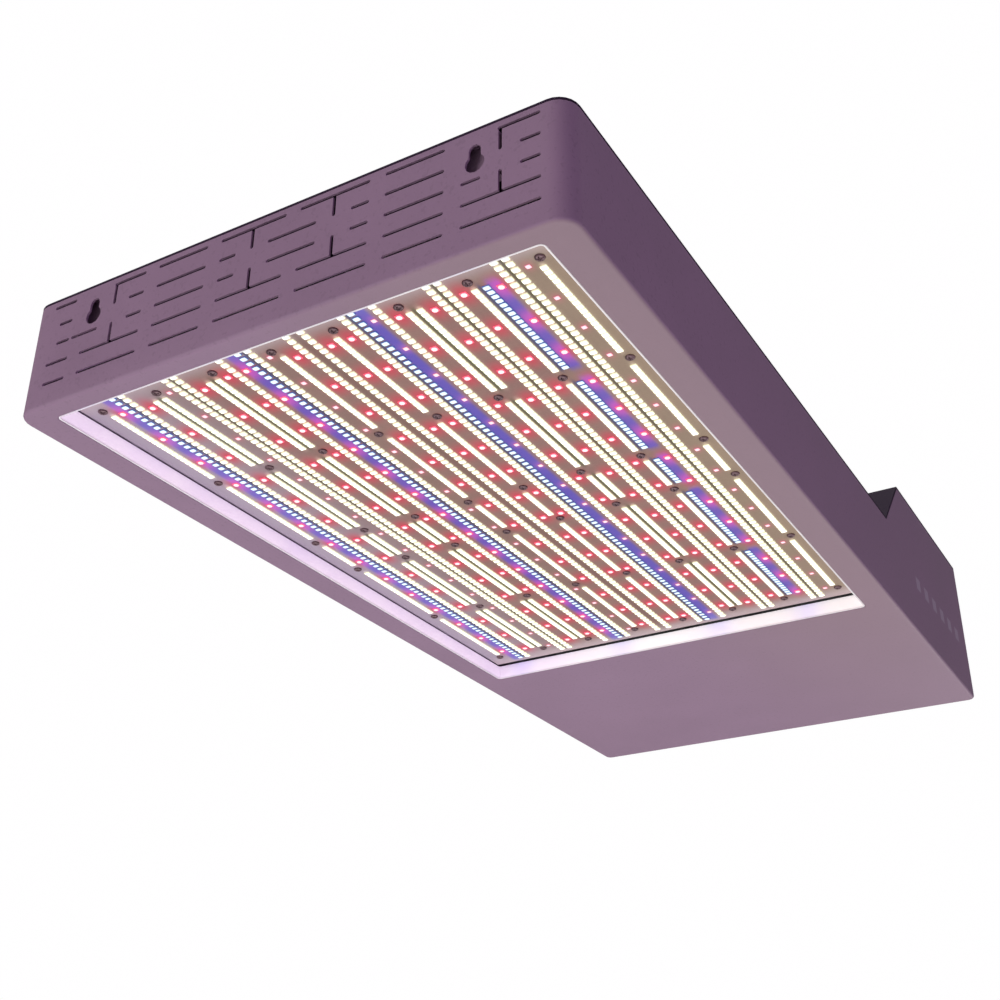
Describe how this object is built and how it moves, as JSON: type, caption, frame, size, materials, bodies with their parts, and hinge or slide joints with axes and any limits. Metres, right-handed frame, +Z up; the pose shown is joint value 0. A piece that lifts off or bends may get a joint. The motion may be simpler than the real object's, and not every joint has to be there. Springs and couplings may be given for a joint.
{
  "type": "LED grow light",
  "caption": "Rectangular hanging LED grow light: sheet-steel housing, recessed LED board under a finned heat sink, raised driver bay at one end.",
  "frame": {"origin": "centre of the rectangular footprint, on the plane of the housing's flat bottom", "axes": "+Z up (the light shines towards -Z), +Y along the length from the vented end to the driver bay, +X across the width"},
  "size_m": [0.3, 0.636, 0.104],
  "materials": {
    "housing_paint": "fine-textured powder coat, mauve grey",
    "cover_paint": "fine-textured powder coat, near black",
    "reflector_white": "white gloss powder coat",
    "led_phosphor": "lit LED packages on a solder mask",
    "aluminium": "mill finish",
    "zinc_plate": "zinc-plated steel",
    "screw_steel": "dark-plated steel",
    "black_plastic": "moulded black plastic",
    "red_plastic": "translucent red rocker",
    "grey_plastic": "moulded pale grey plastic",
    "driver_case": "anodised dark grey extrusion",
    "brass": "bare contact pins",
    "rubber": "black rubber and cable sheath"
  },
  "bodies": {
    "housing": {"housing_tray": "housing_paint", "hanger_pocket_front_left": "housing_paint", "hanger_pocket_front_right": "housing_paint", "hanger_pocket_rear_left": "housing_paint", "hanger_pocket_rear_right": "housing_paint", "front_cover": "cover_paint", "driver_cover": "cover_paint", "cover_rail_left": "zinc_plate", "cover_rail_right": "zinc_plate", "cover_screw_left_1": "screw_steel", "cover_screw_left_2": "screw_steel", "cover_screw_left_3": "screw_steel", "cover_screw_right_1": "screw_steel", "cover_screw_right_2": "screw_steel", "cover_screw_right_3": "screw_steel", "driver_cover_screw_left": "screw_steel", "driver_cover_screw_right": "screw_steel", "partition": "zinc_plate", "grommet_left": "rubber", "grommet_right": "rubber", "reflector_frame": "reflector_white", "led_board": "aluminium", "led_array": "led_phosphor", "board_screw_1": "screw_steel", "board_screw_2": "screw_steel", "board_screw_3": "screw_steel", "board_screw_4": "screw_steel", "heat_sink": "aluminium", "sink_post_left_1": "zinc_plate", "sink_post_left_2": "zinc_plate", "sink_post_right_1": "zinc_plate", "sink_post_right_2": "zinc_plate", "fan_frame_front": "black_plastic", "fan_frame_rear": "black_plastic", "driver_left": "driver_case", "driver_right": "driver_case", "terminal_block": "grey_plastic", "inlet_socket": "black_plastic", "inlet_pin_live": "brass", "inlet_pin_neutral": "brass", "inlet_pin_earth": "brass", "switch_case": "black_plastic", "dimmer_body": "zinc_plate", "dimmer_nut": "zinc_plate", "mains_lead": "rubber", "driver_lead_left": "rubber", "driver_lead_right": "rubber", "board_lead_left": "rubber", "board_lead_right": "rubber", "switch_lead": "rubber", "dimmer_lead": "rubber"},
    "front_fan": {"fan_rotor_front": "black_plastic"},
    "rear_fan": {"fan_rotor_rear": "black_plastic"},
    "power_rocker": {"switch_rocker": "red_plastic"},
    "dimmer": {"dimmer_shaft": "zinc_plate", "dimmer_knob": "black_plastic"}
  },
  "joints": [
    {"name": "front_fan_spin", "type": "hinge", "parent": "housing", "child": "front_fan", "pos_m": [0, -0.21, 0.05], "axis": [0, 0, 1], "continuous": true},
    {"name": "rear_fan_spin", "type": "hinge", "parent": "housing", "child": "rear_fan", "pos_m": [0, 0.005, 0.05], "axis": [0, 0, 1], "continuous": true},
    {"name": "rocker_tilt", "type": "hinge", "parent": "housing", "child": "power_rocker", "pos_m": [0.06, 0.14041, 0.08183], "axis": [1, 0, 0], "range_deg": [-20, 0]},
    {"name": "dimmer_turn", "type": "hinge", "parent": "housing", "child": "dimmer", "pos_m": [-0.06, 0.139, 0.08325], "axis": [0, -0.7029, 0.7113], "range_deg": [-150, 150]}
  ]
}
